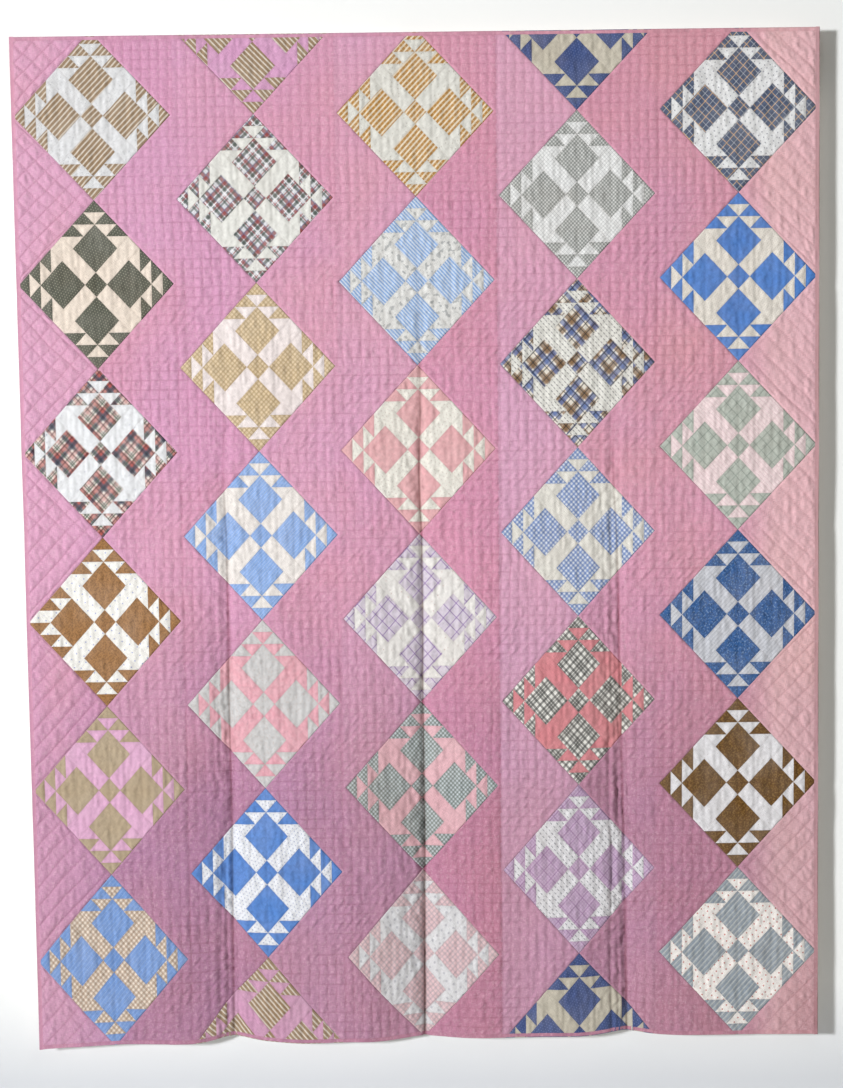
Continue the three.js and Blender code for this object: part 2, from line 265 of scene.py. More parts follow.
# %% Where the seams are
def in_block(u, v):
    """Nearest block's middle, and how deep inside its outline a point is, in mm."""
    strip = np.clip(np.floor((u + WIDTH / 2) / PITCH), 0, STRIPS - 1).astype(int)
    middle = strip_x(strip)
    top = HEAD + HEAD_TRIM - BLOCK_H / 2 + (strip % 2) * BLOCK_H / 2
    row = np.round((top - v) / BLOCK_H)
    du, dv = u - middle, v - (top - row * BLOCK_H)
    inside = 1 - np.abs(du) / (BLOCK_W / 2) - np.abs(dv) / (BLOCK_H / 2)
    reach = BLOCK_W * BLOCK_H / 2 / math.hypot(BLOCK_W, BLOCK_H)
    return strip, du, dv, inside * reach


def patch_seam(du, dv):
    """Distance in mm to the nearest seam between a block's patches."""
    a = np.abs(du / BLOCK_W + dv / BLOCK_H) * GRID
    b = np.abs(dv / BLOCK_H - du / BLOCK_W) * GRID
    a, b = np.maximum(a, b), np.minimum(a, b)
    near = np.minimum(np.abs(b - 0.5), np.where(b > 0.5, np.abs(a - 2.5), 9))
    near = np.minimum(near, np.where(b < 0.5, np.abs(a - 0.5), 9))
    teeth = (a > 2.5) & (b > 0.5)
    near = np.minimum(near, np.where(teeth, np.abs(b - np.round(b - 0.5) - 0.5), 9))
    cell = np.floor(a - 0.5) + np.floor(b - 0.5) + 2
    near = np.minimum(near, np.where(teeth, np.abs(a + b - cell) * DIAGONAL, 9))
    return near * UNIT


def relief(u, v):
    """The quilted height over the draped cloth in mm, and how much painted shade a place takes from
    the stitching, the seams and the sharp folds.
    """
    strip, du, dv, inside = in_block(u, v)
    side = ((strip == 0) & (du < 0)) | ((strip == STRIPS - 1) & (du > 0))
    puffs = (block_puff(du, dv), side_puff(u, v), band_puff(u, v))
    height, groove = (np.select((inside > 0, side), both[:2], both[2]) for both in zip(*puffs))
    away = smooth(np.abs(inside), 0, 4.5)
    seam = np.where(inside > 1, np.exp(-patch_seam(du, dv) / 1.8), 0)
    strip_seam = np.where(inside < 0, np.exp(-np.abs(to_line(u + WIDTH / 2, PITCH)) / 2.2), 0)
    height = height * away - 0.5 * seam - 0.55 * strip_seam
    height += 0.5 * waves(u / 6.1, v / 11, 26) + 0.22 * waves(u / 4.2, v / 4.4, 27)
    groove = groove * away + 0.2 * np.exp(-np.abs(inside) / 1.6) + 0.4 * seam + 0.4 * strip_seam
    rim = np.minimum.reduce([u + WIDTH / 2, WIDTH / 2 - u, v - FOOT, HEAD - v])
    height = height * smooth(rim, 4, 16) - 0.6 * (1 - smooth(rim, 4, 14))
    return height, groove * smooth(rim, 6, 12) + 2.4 * fold_shade(u, v)


# %% [markdown]
# ## Hanging a flat piece
# Every cloth piece is drawn flat, in mm, with its height over the patchwork's face as its
# third coordinate. This one function puts it on the wall, so neighbours meet at their seams.


# %% Hang a flat mesh
def hung(u, v, w, height, reach=0):
    """reach keeps a hidden layer behind its neighbours in the sharp folds."""
    down = (HEAD - v) / HEIGHT
    seams = np.arange(STRIPS + 1) * PITCH - WIDTH / 2
    x = u + np.interp(u, seams, FOOT_SHIFTS) * down
    z = v + RISE_ACROSS * u / WIDTH + hem_lift(u, v)
    fall = np.minimum.reduce([drape(u + reach * side, v) for side in (-1, -0.5, 0, 0.5, 1)])
    return np.stack([x, -(FACE + w + fall + height), z], axis=1) * MM


def hang(mesh, quilted=1.0, reach=0):
    flat = np.empty(len(mesh.vertices) * 3, np.float32)
    mesh.vertices.foreach_get("co", flat)
    u, v, w = flat.reshape(-1, 3).astype(float).T
    height, groove = relief(u, v)
    placed = hung(u, v, w, quilted * height, reach)
    mesh.vertices.foreach_set("co", placed.astype(np.float32).ravel())
    # This attribute darkens the finishes: painted shade along the stitching, the seams and the
    # sharp folds.
    stitch_shade = mesh.attributes.new("stitch_shade", "FLOAT", "POINT")
    stitch_shade.data.foreach_set("value", groove.astype(np.float32))
    mesh.update()


def corners(mesh):
    """Where each face corner is, and the middle of its face."""
    points = np.empty(len(mesh.vertices) * 3, np.float32)
    mesh.vertices.foreach_get("co", points)
    middles = np.empty(len(mesh.polygons) * 3, np.float32)
    mesh.polygons.foreach_get("center", middles)
    sizes = np.empty(len(mesh.polygons), np.int32)
    mesh.polygons.foreach_get("loop_total", sizes)
    at = np.empty(len(mesh.loops), np.int32)
    mesh.loops.foreach_get("vertex_index", at)
    middles = np.repeat(middles.reshape(-1, 3), sizes, axis=0)
    return points.reshape(-1, 3)[at].astype(float), middles


def make_piece(name, bm, materials, cloth_map, body="quilt"):
    """Turns bm into a piece. cloth_map gives the place on the cloth, in metres, of each corner."""
    mesh = bpy.data.meshes.new(name)
    bm.to_mesh(mesh)
    bm.free()
    for material in materials:
        mesh.materials.append(material)
    mesh.polygons.foreach_set("use_smooth", [True] * len(mesh.polygons))
    layer = mesh.uv_layers.new(name="Cloth")
    points, middles = corners(mesh)
    places = np.stack(cloth_map(points, middles), axis=1)
    layer.uv.foreach_set("vector", places.astype(np.float32).ravel())
    piece = bpy.data.objects.new(name, mesh)
    bpy.context.scene.collection.objects.link(piece)
    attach(piece, body)
    return piece


def reshape(bm, rule):
    """Moves every vertex of bm to where rule(x, y) says, with x and y from the flat grid."""
    grid = np.array([vert.co[:2] for vert in bm.verts])
    places = np.stack(np.broadcast_arrays(*rule(grid[:, 0], grid[:, 1])), axis=1)
    for vert, place in zip(bm.verts, places.tolist()):
        vert.co = place


def turn_under(bm, depth=1.7):
    """Turns the cut edges back, as a seam allowance is."""
    edges = [e for e in bm.edges if e.is_boundary]
    turned = bmesh.ops.extrude_edge_only(bm, edges=edges)["geom"]
    for vert in (g for g in turned if isinstance(g, bmesh.types.BMVert)):
        vert.co.z -= depth


# %% [markdown]
# ## Finishes: printed cottons
# Each block has a darker and a lighter print. A print is a base colour with stripes, lines,
# dots or specks over it. They follow the cloth's own map, in metres along and across the
# weave, so a patch cut elsewhere shows another part of the print.


# %% Node helpers
def linear(code, alpha=1.0):
    parts = [int(code[i : i + 2], 16) / 255 for i in (1, 3, 5)]
    return (*[p / 12.92 if p <= 0.04045 else ((p + 0.055) / 1.055) ** 2.4 for p in parts], alpha)


class Recipe:
    """Writes a material's nodes, one step at a time."""

    def __init__(self, name, roughness=0.92):
        self.material = bpy.data.materials.new(name)
        self.material.use_nodes = True
        self.tree = self.material.node_tree
        self.shader = self.tree.nodes["Principled BSDF"]
        self.shader.inputs["Roughness"].default_value = roughness
        self.shader.inputs["Specular IOR Level"].default_value = 0.25

    def put(self, socket, value):
        if isinstance(value, bpy.types.NodeSocket):
            self.tree.links.new(value, socket)
        else:
            socket.default_value = value

    def sum(self, operation, a, b=0.0, c=0.0):
        node = self.tree.nodes.new("ShaderNodeMath")
        node.operation = operation
        for socket, value in zip(node.inputs, (a, b, c)):
            self.put(socket, value)
        return node.outputs[0]

    def mix(self, share, under, over, blend="MIX"):
        node = self.tree.nodes.new("ShaderNodeMix")
        node.data_type, node.blend_type = "RGBA", blend
        for name, value in (("Factor_Float", share), ("A_Color", under), ("B_Color", over)):
            self.put(next(s for s in node.inputs if s.identifier == name), value)
        return next(s for s in node.outputs if s.identifier == "Result_Color")

    def place(self, scale=(1, 1, 1), kind="cloth"):
        if kind == "cloth":
            source = self.tree.nodes.new("ShaderNodeUVMap")
            source.uv_map = "Cloth"
            start = source.outputs[0]
        else:
            start = self.tree.nodes.new("ShaderNodeTexCoord").outputs["Object"]
        mapping = self.tree.nodes.new("ShaderNodeMapping")
        mapping.inputs["Scale"].default_value = scale
        self.tree.links.new(start, mapping.inputs["Vector"])
        return mapping.outputs[0]

    def axes(self, vector):
        node = self.tree.nodes.new("ShaderNodeSeparateXYZ")
        self.tree.links.new(vector, node.inputs[0])
        return tuple(node.outputs)

    def attribute(self, name):
        node = self.tree.nodes.new("ShaderNodeAttribute")
        node.attribute_name = name
        return node.outputs["Fac"]

    def noise(self, vector, scale, detail=2.0, rough=0.5):
        node = self.tree.nodes.new("ShaderNodeTexNoise")
        self.put(node.inputs["Vector"], vector)
        node.inputs["Scale"].default_value = scale
        node.inputs["Detail"].default_value = detail
        node.inputs["Roughness"].default_value = rough
        return node.outputs[0]

    def cells(self, vector, scale):
        node = self.tree.nodes.new("ShaderNodeTexVoronoi")
        self.put(node.inputs["Vector"], vector)
        node.inputs["Scale"].default_value = scale
        return node.outputs["Distance"]

    def spread(self, value, low, high, out_low=0.0, out_high=1.0):
        node = self.tree.nodes.new("ShaderNodeMapRange")
        ends = {"From Min": low, "From Max": high, "To Min": out_low, "To Max": out_high}
        for name, number in ends.items():
            node.inputs[name].default_value = number
        self.put(node.inputs["Value"], value)
        return node.outputs[0]

    def bump(self, height, distance, strength=1.0):
        node = self.tree.nodes.new("ShaderNodeBump")
        node.inputs["Distance"].default_value = distance
        node.inputs["Strength"].default_value = strength
        self.put(node.inputs["Height"], height)
        self.put(self.shader.inputs["Normal"], node.outputs[0])


# %% Cotton cloth, plain or printed
THREAD = 0.75  # between threads, in mm, as a hand-woven ground reads from a step away
SLUB = 90  # thick and thin places along a metre of thread


def band_of(r, along, period, share, start):
    """1 on a stripe of the print and 0 beside it."""
    at = r.sum("FRACT", r.sum("MULTIPLY_ADD", along, 1000 / period, start))
    return r.sum("LESS_THAN", at, share)


def woven(r, colour, share, shaded):
    """Finishes a cotton: its threads' shading and bump, and a faint sheen."""
    warp = r.noise(r.place((1000 / THREAD, SLUB, 1)), 1, 1.0)
    weft = r.noise(r.place((SLUB, 1000 / THREAD, 1)), 1, 1.0)
    weave = r.sum("ADD", warp, weft)
    shading = r.mix(r.spread(weave, 0.75, 1.25), linear(shaded), linear("#ffffff"))
    r.put(r.shader.inputs["Base Color"], r.mix(share, colour, shading, "MULTIPLY"))
    r.bump(weave, 0.00025, 0.6)
    r.put(r.shader.inputs["Roughness"], r.spread(weave, 0.7, 1.3, 0.86, 0.97))
    r.shader.inputs["Sheen Weight"].default_value = 0.12
    r.shader.inputs["Sheen Roughness"].default_value = 0.5
    return r.material


def cotton(name, base, *marks, fade=0.10, soil="#8a6f58"):
    r = Recipe(name)
    cloth = r.place()
    a, b, _ = r.axes(cloth)
    colour = linear(base)
    for kind, ink, *rest in marks:
        if kind == "across":  # stripes that run along b
            period, share, start, strength = rest
            on = r.sum("MULTIPLY", band_of(r, a, period, share, start), strength)
        elif kind == "along":  # stripes that run along a
            period, share, start, strength = rest
            on = r.sum("MULTIPLY", band_of(r, b, period, share, start), strength)
        elif kind == "dots":
            period, radius, strength = rest
            shift = r.sum("MULTIPLY", band_of(r, b, 2 * period, 0.5, 0), 0.5)
            x = r.sum("FRACT", r.sum("MULTIPLY_ADD", a, 1000 / period, shift))
            x = r.sum("SUBTRACT", x, 0.5)
            y = r.sum("SUBTRACT", r.sum("FRACT", r.sum("MULTIPLY", b, 1000 / period)), 0.5)
            off = r.sum("SQRT", r.sum("MULTIPLY_ADD", x, x, r.sum("MULTIPLY", y, y)))
            on = r.sum("MULTIPLY", r.sum("LESS_THAN", off, radius / period), strength)
        elif kind == "specks":
            cell, radius, strength = rest
            off = r.cells(cloth, 1000 / cell)
            on = r.sum("MULTIPLY", r.sum("LESS_THAN", off, radius / cell), strength)
        else:  # "blotch"
            size, level, strength = rest
            patchy = r.noise(cloth, 1000 / size, 1.0)
            on = r.sum("MULTIPLY", r.spread(patchy, level, level + 0.06), strength)
        colour = r.mix(on, colour, linear(ink))
    worn = r.noise(cloth, 9, 3.0, 0.6)
    colour = r.mix(r.spread(worn, 0.35, 0.7, 0, fade), colour, linear("#f4efe8"))
    aged = r.noise(r.place(kind="object"), 5, 4.0, 0.65)
    colour = r.mix(r.spread(aged, 0.5, 0.8, 0, 0.16), colour, linear(soil))
    # Painted shade: darker along the stitching, the seams and the sharp folds.
    groove_shade = r.sum("MINIMUM", r.sum("MULTIPLY", r.attribute("stitch_shade"), 0.38), 1.0)
    colour = r.mix(groove_shade, colour, linear("#8f807a"), "MULTIPLY")
    return woven(r, colour, 0.5, "#a8a8a8")


# %% [markdown]
# ## The scrap bag
# No two blocks share their prints. These lists go from the head down, one list to a strip:
# the print of the squares and teeth first, and then the print of the cross behind them.


# %% Prints of the scrap bag
def gingham(ink, period, strength=0.5):
    return [(kind, ink, period, 0.5, 0, strength) for kind in ("across", "along")]


def panes(ink, period, share=0.14, strength=0.8, start=0.0):
    return [(kind, ink, period, share, start, strength) for kind in ("across", "along")]


TAN_STRIPES = ["#9c8468", "#ece4d8", 9.3, 0.36, 0, 0.72]


def striped(kind, base, ink, *rest):
    return [base, (kind, ink, *rest)]


SCRAPS = [
    [
        (striped("along", *TAN_STRIPES), ["#e3e5e8", ("specks", "#9aa0aa", 7, 1.2, 0.6)]),
        (["#575a4f", ("dots", "#a9a893", 6, 1.1, 0.8)], ["#efe2d4"]),
        (["#e6e0d8", *panes("#b03a35", 50, 0.2, 0.74), *panes("#263354", 50, 0.2, 0.74, 0.2),
          *panes("#d99a96", 50, 0.2, 0.5, 0.5), *panes("#23232b", 12.5, 0.2, 0.62, 0.5),
          *panes("#3c5a48", 50, 0.06, 0.75, 0.72)],
         ["#eef1f5", ("specks", "#9a9fc0", 18, 2.0, 0.5)]),
        (["#a87a4a", ("blotch", "#6d4a29", 4, 0.5, 0.5)],
         ["#f8f8f4", ("dots", "#98a6dc", 17, 1.7, 0.8)]),
        (["#b6a489"], ["#e0aed0"]),
        (["#7299d6", ("along", "#9bb6e2", 8, 0.3, 0, 0.4)],
         ["#ecdfd0", *gingham("#94765c", 9, 0.5)]),
    ],
    [
        (striped("across", *TAN_STRIPES), ["#d8a0c8"]),
        (["#dcdee4", *panes("#8e2a2a", 46, 0.2, 0.78), *panes("#33463a", 46, 0.14, 0.7, 0.2),
          *panes("#9a3636", 46, 0.06, 0.7, 0.46), *panes("#33463a", 46, 0.1, 0.65, 0.6),
          *panes("#f4f4f8", 46, 0.05, 0.9, 0.3), *panes("#6f80a4", 46, 0.05, 0.6, 0.84)],
         ["#eaebe6", ("specks", "#a8a29c", 14, 1.4, 0.5)]),
        (["#e2cdaa", *panes("#a98f66", 8, 0.4, 0.5)], ["#f6eceb"]),
        (["#8aafe8", ("along", "#b7cdf0", 6, 0.4, 0, 0.4)], ["#efeae6"]),
        (["#cfcfd0", ("specks", "#c0a79a", 5, 1.2, 0.5)],
         ["#e8aebb", ("blotch", "#de98a6", 12, 0.5, 0.4)]),
        (["#5589d4", ("blotch", "#4273bd", 8, 0.5, 0.35)],
         ["#ebeff6", ("dots", "#6f83b4", 8, 1.3, 0.7)]),
        (striped("across", *TAN_STRIPES), ["#cf9cbc"]),
    ],
    [
        (["#b98840", ("along", "#efe3cd", 9.5, 0.42, 0, 0.9),
          ("across", "#e6d3ae", 9.5, 0.2, 0, 0.45)],
         ["#e3e3dc", ("specks", "#a2988a", 8, 1.3, 0.6)]),
        (["#8db0e0", ("across", "#e4ecf5", 6.4, 0.45, 0, 0.75)],
         ["#e3e4e2", ("blotch", "#8d9397", 11, 0.57, 0.6)]),
        (["#e7b2b6", ("blotch", "#dda0a6", 10, 0.5, 0.3)],
         ["#efede4", ("dots", "#b0958e", 9, 1.1, 0.6)]),
        (["#d6cddb", *panes("#7d55a2", 22, 0.09, 0.75)],
         ["#ebe9e6", ("specks", "#b0766a", 11, 1.3, 0.6)]),
        (["#c6d0d4", *gingham("#566259", 7, 0.55)], ["#e2b3bc"]),
        (["#dfc0c4", *panes("#a39aa2", 9, 0.38, 0.42)],
         ["#d9dadd", ("dots", "#9a9ba8", 16, 2.8, 0.5)]),
    ],
    [
        (["#3f5388", ("dots", "#8391bb", 6, 0.9, 0.7)], ["#cbc5b5"]),
        (["#dadcda", *gingham("#656c6a", 6, 0.55)],
         ["#f2f4f4", *panes("#858b90", 6.5, 0.3, 0.26)]),
        (["#ece6da", *panes("#805a2c", 46, 0.3, 0.74), *panes("#3a62a8", 46, 0.28, 0.7, 0.36),
          *panes("#1c1d23", 15.33, 0.15, 0.8, 0.5)],
         ["#ebebe5", ("across", "#3f4149", 9, 0.2, 0, 0.75),
          ("along", "#ebebe5", 9, 0.4, 0, 0.95)]),
        (["#dbe3ee", *gingham("#4470b8", 8, 0.6)], ["#e6e4dc"]),
        (["#f1f1eb", *panes("#1d2124", 12.5, 0.4, 0.66),
          *panes("#1d2124", 37.5, 0.12, 0.6, 0.5)],
         ["#dc8a92"]),
        (["#c8aecb", *panes("#8b5f90", 24, 0.1, 0.6), *panes("#a685ae", 6, 0.4, 0.35)],
         ["#e6e6ea", ("across", "#5f6872", 10, 0.2, 0, 0.7),
          ("along", "#e6e6ea", 10, 0.45, 0, 0.95)]),
        (["#3f5388", ("dots", "#8391bb", 6, 0.9, 0.7)], ["#c6c0b0"]),
    ],
    [
        (["#5d6c88", *panes("#3f4c67", 24, 0.5, 0.45, 0.75), *panes("#efc48c", 24, 0.055, 0.9),
          *panes("#e6eaf0", 24, 0.04, 0.65, 0.5)], ["#eceef0", ("dots", "#666c80", 11, 1.5, 0.7)]),
        (["#5288d6", ("blotch", "#3f6fbe", 8, 0.52, 0.3)],
         ["#ede8df", ("dots", "#bdb4a4", 5, 0.9, 0.6)]),
        (["#bcc4bb", *panes("#8a978e", 18, 0.13, 0.6)],
         ["#f8e4e6", ("across", "#e6c9cf", 8, 0.3, 0, 0.5)]),
        (["#33629f", ("blotch", "#8fabcf", 4, 0.57, 0.55),
          ("blotch", "#16365f", 5, 0.53, 0.5)],
         ["#d3d6de", ("along", "#b3b8c2", 7, 0.4, 0, 0.5)]),
        (["#64420f", ("blotch", "#96733a", 4, 0.52, 0.55)],
         ["#e8e8ec", ("specks", "#b5aca8", 10, 1.2, 0.5)]),
        (["#98a3a9", ("along", "#c9cdd0", 9, 0.3, 0, 0.6),
          ("along", "#7480a8", 9, 0.12, 0.5, 0.6)],
         ["#f6f2ee", ("dots", "#bf5a50", 13, 1.8, 0.85)]),
    ],
]
print("prints:", sum(len(strip) for strip in SCRAPS) * 2)

# %% [markdown]
# ## Cutting and piecing the blocks
# A block starts as one even grid, seven units to a side. Knife cuts across the small corner
# squares make the teeth, and each face then takes the darker or the lighter print. Doing it
# on one grid keeps the seams shut, which forty-nine loose patches would not.

# %% Piece a block
FINE = 12  # steps of the mesh to a unit
TEETH_CELLS = ((3, 1), (3, 2), (3, 3), (2, 3), (1, 3))  # of one corner, in units from the middle
SCISSORS = (0.2, 0.2, 0.03)  # how much patches' places in the print, in metres, and lean differ
TURNED_BLOCK = (0, 3)  # strip and row of the one that its maker pieced with a corner turned


def cut_teeth(bm, turned):
    """Cuts the corner squares across. On the turned corner the cuts all run level."""
    cells = {}
    for face in bm.faces:
        at = face.calc_center_median()
        cells.setdefault((round(at.x), round(at.y)), []).append(face)
    for side_a in (-1, 1):
        for side_b in (-1, 1):
            level = turned and side_a < 0 < side_b
            across = (1, 1, 0) if level else (side_a, side_b, 0)
            for i, j in TEETH_CELLS:
                faces = cells[side_a * i, side_b * j]
                edges = {e for f in faces for e in f.edges}
                verts = {p for f in faces for p in f.verts}
                bmesh.ops.bisect_plane(
                    bm, geom=[*faces, *edges, *verts], dist=1e-5,
                    plane_co=(side_a * i, side_b * j, 0), plane_no=across)


def patches(a, b, turned):
    """Whether each place is of the darker print, and the number of its patch."""
    i, j = np.round(a), np.round(b)
    side_a, side_b = np.sign(a), np.sign(b)
    level = turned & (side_a < 0) & (side_b > 0)
    outer = (a - i) * np.where(level, 1, side_a) + (b - j) * side_b > 0
    outer ^= level & (i == -3)
    cross, square = (i == 0) | (j == 0), (np.abs(i) < 3) & (np.abs(j) < 3)
    dark = np.where(cross, (i == 0) & (j == 0), square | outer)
    tooth = 20 + (i + 3) * 7 + j + 3 + 50 * outer
    patch = np.where(square, 14 + side_a * 2 + side_b, tooth)
    return dark, np.where(cross, 4 + np.sign(i) * 3 + np.sign(j), patch).astype(int)


def units(strip, z, x, y):
    """A place in mm, counted in units along the sides of the block whose middle is at z."""
    right, up = (x - strip_x(strip)) / BLOCK_W, (y - z) / BLOCK_H
    return (up + right) * GRID, (up - right) * GRID


def block_pattern(turned):
    bm = bmesh.new()
    bmesh.ops.create_grid(bm, x_segments=GRID * FINE, y_segments=GRID * FINE, size=HALF_GRID)
    cut_teeth(bm, turned)
    mesh = bpy.data.meshes.new("pattern")
    bm.to_mesh(mesh)
    bm.free()
    return mesh


PATTERNS = {turned: block_pattern(turned) for turned in (False, True)}


def pieced_block(name, strip, row, z):
    turned = (strip, row) == TURNED_BLOCK
    bm = bmesh.new()
    bm.from_mesh(PATTERNS[turned])
    half_w, half_h = BLOCK_W / 2 / GRID, BLOCK_H / 2 / GRID
    onto = Matrix((
        (half_w, -half_w, 0, strip_x(strip)), (half_h, half_h, 0, z), (0, 0, 1, 0), (0, 0, 0, 1)))
    bmesh.ops.transform(bm, matrix=onto, verts=bm.verts)
    trim(bm)
    for face in bm.faces:
        at = face.calc_center_median()
        face.material_index = 0 if patches(*units(strip, z, at.x, at.y), turned)[0] else 1
    turn_under(bm)
    cuts = np.random.RandomState(100 * strip + row).uniform(-1, 1, (130, 3)) * SCISSORS

    def cloth_map(points, middles):
        a, b = units(strip, z, points[:, 0], points[:, 1])
        cut = cuts[patches(*units(strip, z, middles[:, 0], middles[:, 1]), turned)[1]]
        a, b = a * UNIT * MM, b * UNIT * MM
        return a + cut[:, 2] * b + cut[:, 0], b - cut[:, 2] * a + cut[:, 1]

    dark, light = SCRAPS[strip][row]
    prints = [cotton(f"{name}_print", *dark), cotton(f"{name}_ground", *light)]
    return make_piece(name, bm, prints, cloth_map)


def trim(bm):
    """Cuts off what lies past the quilt's head and foot."""
    for height, way in ((HEAD - EDGE_INSET, 1), (FOOT + EDGE_INSET, -1)):
        bmesh.ops.bisect_plane(
            bm, geom=[*bm.faces, *bm.edges, *bm.verts], dist=1e-4,
            plane_co=(0, height, 0), plane_no=(0, way, 0), clear_outer=True)


for strip in range(STRIPS):
    heights = block_heights(strip)
    for row, z in enumerate(heights):
        half = strip % 2 and row in (0, len(heights) - 1)
        node = f"block_s{strip + 1}_r{row + 1 - strip % 2}"
        if half:
            node = f"half_block_s{strip + 1}_{'foot' if row else 'head'}"
        block = pieced_block(f"{node}_pieced", strip, row, z)
        hang(block.data)
        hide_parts(node)
        side = math.hypot(BLOCK_W, BLOCK_H) / 2 * MM
print("last block has", len(block.data.polygons), "faces")

# %% [markdown]
# ## The pink bands
# Between two strips of blocks the pink setting triangles join into one zigzag band of even
# width. A plain grid is pushed sideways, row by row, along the blocks' outlines.


# %% Pink cotton
def pink_cotton(name, edge=False):
    """edge is the binding, which is of one cut and has worn brown along its fold."""
    r = Recipe(name)
    body = r.place(kind="object")
    x, _, z = r.axes(body)
    across = r.spread(x, -0.9, 0.9)
    mottle = r.noise(body, 2.6, 3.0, 0.6)
    mottled = r.spread(mottle, 0.35, 0.65, -0.25, 0.35)
    share = r.sum("ADD", r.sum("MULTIPLY", across, 0.75), mottled)
    colour = r.mix(share, linear("#d9a0c3"), linear("#dda0ae"))
    left, right = (r.spread(x, side * 0.72, side * 0.8) for side in (-1, 1))
    colour = r.mix(r.sum("MULTIPLY", left, 0.15), colour, linear("#eebcc6"))
    colour = r.mix(r.sum("MULTIPLY", right, 0.62), colour, linear("#f6cfca"))
    # Painted shade: the pink darkens towards the foot, where less light falls, and half as much
    # near the sides.
    inner = r.spread(r.sum("ABSOLUTE", x), 0.65, 0.82, 1.0, 0.5)
    low = r.sum("MULTIPLY", r.spread(z, -1.15, -1.7), inner)
    colour = r.mix(low, colour, linear("#d4d3d9"), "MULTIPLY")
    # Painted shade: the lower right corner, which turns away from the light, is made darker.
    corner = r.sum("MULTIPLY", r.spread(z, -1.9, -2.2), r.spread(x, 0.78, 0.87))
    colour = r.mix(r.sum("MULTIPLY", corner, 0.7), colour, linear("#d3c4c4"), "MULTIPLY")
    if edge:
        fold = r.sum("ABSOLUTE", r.sum("SUBTRACT", r.attribute("share_round"), 0.5))
        patchy = r.noise(body, 22, 3.0, 0.6)
        near_fold = r.spread(fold, 0.05, 0.2, 1.0, 0.0)
        worn = r.sum("MULTIPLY", near_fold, r.spread(patchy, 0.3, 0.62, 0.3, 1.0))
        # Painted shade: a darker pink over the whole binding matches the shading that the bands get
        # from their quilting.
        colour = r.mix(0.3, colour, linear("#c07f90"))
        colour = r.mix(worn, colour, linear("#7f5c49"))
    else:
        bolt = r.attribute("bolt")
        colour = r.mix(r.spread(bolt, 0.5, 1.0, 0, 0.55), colour, linear("#dfb2cf"))
        colour = r.mix(r.spread(bolt, 0.5, 0.0, 0, 0.5), colour, linear("#d4859f"))
    rubbed = r.noise(body, 160, 3.0, 0.7)
    colour = r.mix(r.spread(rubbed, 0.5, 0.75, 0, 0.32), colour, linear("#f3d3de"))
    # Painted shade: darker along the stitching, the seams and the sharp folds.
    groove_shade = r.sum("MINIMUM", r.sum("MULTIPLY", r.attribute("stitch_shade"), 0.42), 1.0)
    colour = r.mix(groove_shade, colour, linear("#a87f86"), "MULTIPLY")
    flecks = r.cells(body, 60)
    colour = r.mix(r.spread(flecks, 0.02, 0.06, 0.35, 0.0), colour, linear("#8d5f73"))
    return woven(r, colour, 0.45, "#a4a4a4")


pink = pink_cotton("pink_cotton")

# %% Lay the bands
ROW_STEPS = 62  # mesh rows to half a block
BAND_STEPS = 60  # and mesh columns across a band
# How pale the pink is on the right and on the left of each strip, and cut by cut.
BOLTS = np.array([(0.5, 0.6), (0.55, 0.5), (0.22, 0.62), (0.45, 0.8), (0.62, 0.4)])
CUTS = np.random.RandomState(7).uniform(-0.14, 0.14, (STRIPS, 2, ROWS + 3))


def outline_x(strip, side, v):
    """Where one side of a strip's blocks is at the height v."""
    top = HEAD + HEAD_TRIM - BLOCK_H / 2 + (strip % 2) * BLOCK_H / 2
    row = np.round((top - v) / BLOCK_H)
    share = 1 - np.abs(v - (top - row * BLOCK_H)) / (BLOCK_H / 2)
    return strip_x(strip) + side * share * BLOCK_W / 2


def zigzag_band(name, band):
    bm = bmesh.new()
    bmesh.ops.create_grid(bm, x_segments=BAND_STEPS, y_segments=2 * ROWS * ROW_STEPS, size=0.5)
    side_x = WIDTH / 2 - EDGE_INSET

    def between(x, y):
        v = HEAD + HEAD_TRIM - (0.5 - y) * ROWS * BLOCK_H
        left = outline_x(band - 1, 1, v) if band else -side_x
        right = outline_x(band, -1, v) if band < STRIPS else side_x
        return left + (x + 0.5) * (right - left), v, 0

    reshape(bm, between)
    trim(bm)
    turn_under(bm)

    def triangle(middles):
        """Which strip, and which of its setting triangles down from the head."""
        strip = np.clip(np.floor((middles[:, 0] + WIDTH / 2) / PITCH), 0, STRIPS - 1).astype(int)
        down = (HEAD + HEAD_TRIM - middles[:, 1]) / BLOCK_H
        return strip, (down + (1 + strip % 2) / 2).astype(int)

    def cloth_map(points, middles):
        strip, cut = triangle(middles)
        return points[:, 0] * MM + 0.37 * strip + 0.11 * cut, points[:, 1] * MM + 0.53 * cut

    piece = make_piece(name, bm, [pink], cloth_map)
    middles = np.array([face.center[:] for face in piece.data.polygons])
    strip, cut = triangle(middles)
    left = (middles[:, 0] < strip_x(strip)).astype(int)
    shades = np.clip(BOLTS[strip, left] + CUTS[strip, left, cut], 0, 1)
    bolt = piece.data.attributes.new("bolt", "FLOAT", "FACE")
    bolt.data.foreach_set("value", shades.astype(np.float32))
    return piece


for band in range(STRIPS + 1):
    node = f"zigzag_{band}_{band + 1}"
    if band in (0, STRIPS):
        node = "zigzag_right_edge" if band else "zigzag_left_edge"
    piece = zigzag_band(f"{node}_cloth", band)
    hang(piece.data)
    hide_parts(node)
print("a band has", len(piece.data.polygons), "faces")

# %% [markdown]
# ## Batting and backing
# The batting is a thin pad that nothing shows of, and the backing is one plain sheet that
# carries the quilting's marks. Both are grids that hang as the patchwork does.


# %% Batting and backing
BACKING_STEP, BATTING_STEP = 6.5, 10  # of their meshes
BATTING_LEVEL, BATTING_INSET, LOFT = -3.3, 3.0, 1.2  # its middle, its edge and its thickness
HIDDEN_REACH = 7  # how far to a side the hidden layers look for a fold


